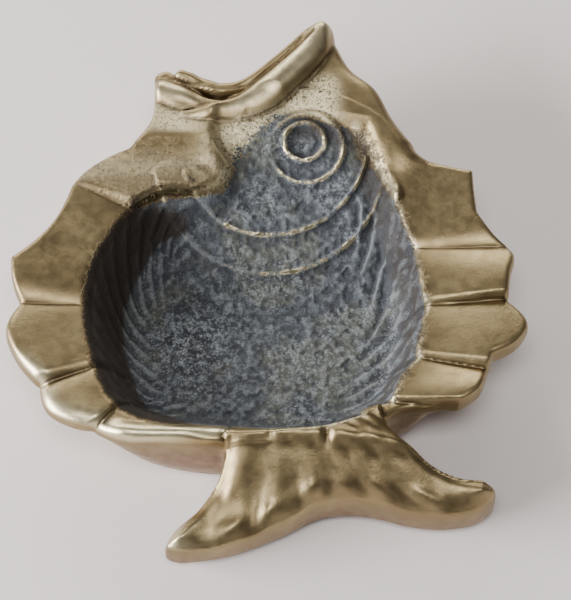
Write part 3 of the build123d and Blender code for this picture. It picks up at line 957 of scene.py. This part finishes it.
class Nodes:
    """Short ways to add and wire the nodes of one material."""

    def __init__(self, name):
        self.material = bpy.data.materials.new(name)
        self.material.use_nodes = True
        self.tree = self.material.node_tree
        self.shader = self.tree.nodes["Principled BSDF"]
        place = self.tree.nodes.new("ShaderNodeTexCoord")
        scale = self.tree.nodes.new("ShaderNodeVectorMath")
        scale.operation = "SCALE"
        scale.inputs["Scale"].default_value = 1 / MM
        self.tree.links.new(place.outputs["Object"], scale.inputs[0])
        self.millimetres = scale.outputs[0]

    def link(self, value, socket):
        if isinstance(value, (int, float)):
            socket.default_value = value
        elif isinstance(value, tuple):
            socket.default_value = (*value, 1)
        else:
            self.tree.links.new(value, socket)

    def attribute(self, name):
        node = self.tree.nodes.new("ShaderNodeAttribute")
        node.attribute_name = name
        return node.outputs["Fac"]

    def noise(self, per_mm, detail, rough):
        node = self.tree.nodes.new("ShaderNodeTexNoise")
        node.inputs["Scale"].default_value = per_mm
        node.inputs["Detail"].default_value = detail
        node.inputs["Roughness"].default_value = rough
        self.link(self.millimetres, node.inputs["Vector"])
        return node.outputs["Fac"]

    def math(self, kind, a, b):
        node = self.tree.nodes.new("ShaderNodeMath")
        node.operation = kind
        self.link(a, node.inputs[0])
        self.link(b, node.inputs[1])
        return node.outputs[0]

    def plus(self, a, b):
        return self.math("ADD", a, b)

    def minus(self, a, b):
        return self.math("SUBTRACT", a, b)

    def times(self, a, b):
        return self.math("MULTIPLY", a, b)

    def larger(self, a, b):
        return self.math("MAXIMUM", a, b)

    def spread(self, value, low, high, to_low=0.0, to_high=1.0):
        node = self.tree.nodes.new("ShaderNodeMapRange")
        node.interpolation_type = "SMOOTHSTEP"
        self.link(value, node.inputs["Value"])
        node.inputs["From Min"].default_value = low
        node.inputs["From Max"].default_value = high
        node.inputs["To Min"].default_value = to_low
        node.inputs["To Max"].default_value = to_high
        return node.outputs["Result"]

    def blend(self, share, a, b, kind="FLOAT"):
        node = self.tree.nodes.new("ShaderNodeMix")
        node.data_type = kind
        self.link(share, node.inputs["Factor"])
        self.link(a, node.inputs["A"])
        self.link(b, node.inputs["B"])
        return node.outputs["Result"]

    def mix(self, share, a, b):
        return self.blend(share, a, b, "RGBA")

    def bump(self, height, distance_mm, strength):
        node = self.tree.nodes.new("ShaderNodeBump")
        node.inputs["Strength"].default_value = strength
        node.inputs["Distance"].default_value = distance_mm * MM
        self.link(height, node.inputs["Height"])
        return node


def metal_colour(n, layer, cloud, dip_tarnish_and_shade):
    """Bare brass: bright where it is worn and where highlights are painted, darker in dips as tarnish and
    painted shade, dark in pits, and a painted reddish reflection and shade on the sides.
    """
    metal = n.mix(n.spread(cloud["broad"], 0.35, 0.68), BRASS_DEEP, BRASS)
    metal = n.mix(n.spread(cloud["middle"], 0.35, 0.75, 0.0, 0.2), metal, BRASS_DEEP)
    # worn brass and painted highlights brighten the metal
    wear_and_gleam = n.larger(layer["wear_and_highlight"], n.times(layer["grain"], 0.75))
    metal = n.mix(n.times(wear_and_gleam, 0.9), metal, BRASS_WORN_AND_LIT)
    # tarnish and painted shade darken the dips
    metal = n.mix(n.times(dip_tarnish_and_shade, 0.6), metal, TARNISH_AND_SHADE)
    # soot and painted shade under the brim
    metal = n.mix(n.times(n.spread(layer["soot_and_shade"], 0.0, 0.55), 0.85), metal, TARNISH_AND_SHADE)
    # painted reddish reflection and shade on the sides and undersides
    sides = n.times(layer["painted_red_reflection"], n.spread(cloud["middle"], 0.35, 0.65, 0.45, 0.95))
    metal = n.mix(sides, metal, RED_REFLECTION_SHADE)
    pits = n.plus(n.times(cloud["specks"], 0.6), n.times(cloud["fine"], 0.4))
    pits = n.times(n.spread(pits, 0.50, 0.60), layer["grain"])
    return n.mix(n.times(pits, 0.85), metal, TARNISH_AND_SHADE)


def patina_cover(n, layer, cloud):
    """How far the patina hides the metal: whole in the hollow, in flecks along its shore."""
    settled = n.plus(n.times(n.minus(cloud["fine"], 0.5), 1.3), n.minus(cloud["middle"], 0.5))
    flecks = n.times(n.minus(cloud["specks"], 0.5), n.times(layer["grain"], 3.6))
    bare = n.plus(n.plus(settled, flecks), n.times(layer["grain"], 0.30))
    covered = n.minus(n.times(layer["patina"], 1.25), bare)
    return n.times(n.spread(covered, 0.30, 0.55), n.spread(layer["patina"], 0.02, 0.15))


def crust_colour(n, layer, cloud, clump, dip_tarnish_and_shade):
    """The patina: clumps of blue, wide green patches, darker crust and painted shade in its dips, and ash
    on its crests and its beds.
    """
    raised = n.spread(layer["dip"], -0.55, -0.03, 1.0, 0.0)
    crust = n.mix(n.spread(clump, 0.40, 0.60), PATINA_DARK, PATINA_BLUE)
    crust = n.mix(n.spread(cloud["broad"], 0.48, 0.62, 0.0, 0.75), crust, PATINA_GREEN)
    # painted shade: darker patina in the dips
    crust = n.mix(n.times(dip_tarnish_and_shade, 0.75), crust, PATINA_DARK)
    crust = n.mix(n.times(raised, n.spread(cloud["grit"], 0.40, 0.62, 0.0, 0.65)), crust, ASH)
    crust = n.mix(n.spread(cloud["grit"], 0.42, 0.66, 0.0, 0.45), crust, PATINA_DARK)
    ash = n.plus(n.times(cloud["fine"], 0.45), n.times(cloud["specks"], 0.3))
    ash = n.plus(ash, n.times(cloud["middle"], 0.25))
    bed = n.larger(n.spread(cloud["beds"], 0.47, 0.62, 0.0, 0.5), layer["ash_bed"])
    ash = n.times(n.spread(ash, 0.49, 0.58), n.times(bed, 0.80))
    return n.mix(ash, crust, ASH)


def surface_bumps(n, layer, cloud, dull, grain_size):
    """Gentle waves of the cast skin, and a fine grit where it is dull or grainy."""
    waves = n.plus(n.times(cloud["fine"], 0.35), n.times(cloud["middle"], 0.9))
    skin_bump = n.bump(waves, 0.05 + 0.10 * grain_size, 0.7)
    gritty = n.plus(cloud["fine"], n.times(cloud["grit"], 0.6))
    share = n.larger(n.times(dull, 0.9), layer["grain"])
    gritty = n.times(gritty, n.plus(share, 0.04 + 0.3 * grain_size))
    grit_bump = n.bump(gritty, 0.26, 0.9)
    n.link(skin_bump.outputs["Normal"], grit_bump.inputs["Normal"])
    n.link(grit_bump.outputs["Normal"], n.shader.inputs["Normal"])


def aged_brass(name, grain_size):
    """Satin brass, darker in its dips with tarnish and painted shade, with patina, ash, soot, painted
    shade, painted highlights and a painted reflection where the layers say.
    """
    n = Nodes(name)
    layer = {kind: n.attribute(kind) for kind in LAYERS}
    cloud = {kind: n.noise(*setting) for kind, setting in CLOUDS.items()}
    # the dips, darkened with tarnish and painted shade
    dip_tarnish_and_shade = n.spread(layer["dip"], 0.05, 0.60)
    clump = n.plus(n.times(cloud["middle"], 0.55), n.times(cloud["fine"], 0.45))
    # soot and painted shade, with dark clumps
    sooted_and_shaded = n.plus(n.times(layer["soot_and_shade"], 1.6), n.times(n.minus(clump, 0.5), 1.6))
    sooted_and_shaded = n.spread(sooted_and_shaded, 0.30, 0.75)
    covered = patina_cover(n, layer, cloud)
    dull = n.larger(covered, n.times(sooted_and_shaded, 0.7))

    metal = metal_colour(n, layer, cloud, dip_tarnish_and_shade)
    colour = n.mix(covered, metal, crust_colour(n, layer, cloud, clump, dip_tarnish_and_shade))
    # soot and painted shade darken the colour
    colour = n.mix(n.times(sooted_and_shaded, 0.95), colour, SOOT_AND_SHADE)
    satin = n.minus(n.spread(cloud["middle"], 0.3, 0.7, 0.36, 0.46), n.times(layer["wear_and_highlight"], 0.06))
    n.link(colour, n.shader.inputs["Base Color"])
    n.link(n.minus(1.0, n.times(dull, 0.92)), n.shader.inputs["Metallic"])
    n.link(n.blend(dull, satin, 0.70), n.shader.inputs["Roughness"])
    surface_bumps(n, layer, cloud, dull, grain_size)
    return n.material


# ---- the pieces --------------------------------------------------------------------------------
# Each slot: how grainy its brass is, and the nodes that wear it.
SLOTS = {
    "bowl_brass": (0.2, ("bowl",)),
    "body_brass": (0.15, ("head", "belly_fin", "dorsal_fin", "tail_fin")),
    "grained_brass": (0.3, ("pectoral_fin",)),
    "worn_brass": (0.2, ("upper_lip", "lower_lip") + RELIEF_NAMES),
}
for slot, (grain_size, names) in SLOTS.items():
    material = aged_brass(slot, grain_size)
    for name in names:
        piece = bpy.data.objects.new(f"{name}_cast", mesh_piece(name))
        bpy.context.scene.collection.objects.link(piece)
        piece.data.materials.append(material)
        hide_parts(name)
        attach(piece, "root")


# ---- floor, lights and camera ------------------------------------------------------------------
FLOOR_HALF = 3.0
FLOOR_COLOUR = (0.84, 0.78, 0.77, 1)
FLOOR_ROUGHNESS = 0.9
CAMERA_AIM = Vector((4.5, 3.0, 10.0)) * MM
CAMERA_ELEVATION = math.radians(60)
CAMERA_DISTANCE = 0.330
CAMERA_LENS = 108.6
CAMERA_SENSOR = 36
CAMERA_NEAR = 0.01
LIGHT_AIM = Vector((0, 0, 0.01))
WORLD_COLOUR = (0.60, 0.58, 0.56, 1)
WORLD_STRENGTH = 0.22
# Each soft box: its place, width, height, power and colour.
LIGHTS = {
    "left_window": ((-0.75, -0.16, 0.27), 0.70, 0.26, 18.0, (1.0, 0.99, 0.99)),
    "far_window": ((-0.15, 0.78, 0.34), 0.90, 0.22, 6.0, (1.0, 0.97, 0.90)),
    "front_top": ((0.0, -0.24, 0.84), 0.46, 0.28, 4.0, (1.0, 0.98, 0.95)),
}


def stage_floor():
    """A plain pale floor under the foot."""
    mesh = bpy.data.meshes.new("floor")
    corners = [(-1, -1), (1, -1), (1, 1), (-1, 1)]
    mesh.from_pydata([(FLOOR_HALF * x, FLOOR_HALF * y, 0) for x, y in corners], [], [(0, 1, 2, 3)])
    floor = bpy.data.objects.new("floor", mesh)
    bpy.context.scene.collection.objects.link(floor)
    material = bpy.data.materials.new("floor_paper")
    material.use_nodes = True
    shader = material.node_tree.nodes["Principled BSDF"]
    shader.inputs["Base Color"].default_value = FLOOR_COLOUR
    shader.inputs["Roughness"].default_value = FLOOR_ROUGHNESS
    floor.data.materials.append(material)


def soft_light(name, place, width, height, power, colour):
    """A soft box at a place, turned to the burner."""
    data = bpy.data.lights.new(name, "AREA")
    data.shape = "RECTANGLE"
    data.size = width
    data.size_y = height
    data.energy = power
    data.color = colour
    lamp = bpy.data.objects.new(name, data)
    lamp.location = place
    lamp.rotation_euler = (LIGHT_AIM - Vector(place)).to_track_quat("-Z", "Y").to_euler()
    bpy.context.scene.collection.objects.link(lamp)


def add_world():
    """An even, dim light from all around."""
    world = bpy.data.worlds.new("studio")
    world.use_nodes = True
    background = world.node_tree.nodes["Background"]
    background.inputs["Color"].default_value = WORLD_COLOUR
    background.inputs["Strength"].default_value = WORLD_STRENGTH
    bpy.context.scene.world = world


def add_camera():
    """The camera looks down at the dish from the tail end."""
    data = bpy.data.cameras.new("camera")
    data.lens = CAMERA_LENS
    data.sensor_width = CAMERA_SENSOR
    data.clip_start = CAMERA_NEAR
    camera = bpy.data.objects.new("camera", data)
    back = Vector((0, -math.cos(CAMERA_ELEVATION), math.sin(CAMERA_ELEVATION)))
    camera.location = CAMERA_AIM + back * CAMERA_DISTANCE
    camera.rotation_euler = (-back).to_track_quat("-Z", "Y").to_euler()
    bpy.context.scene.collection.objects.link(camera)
    bpy.context.scene.camera = camera


stage_floor()
add_camera()
for name, setting in LIGHTS.items():
    soft_light(name, *setting)
add_world()
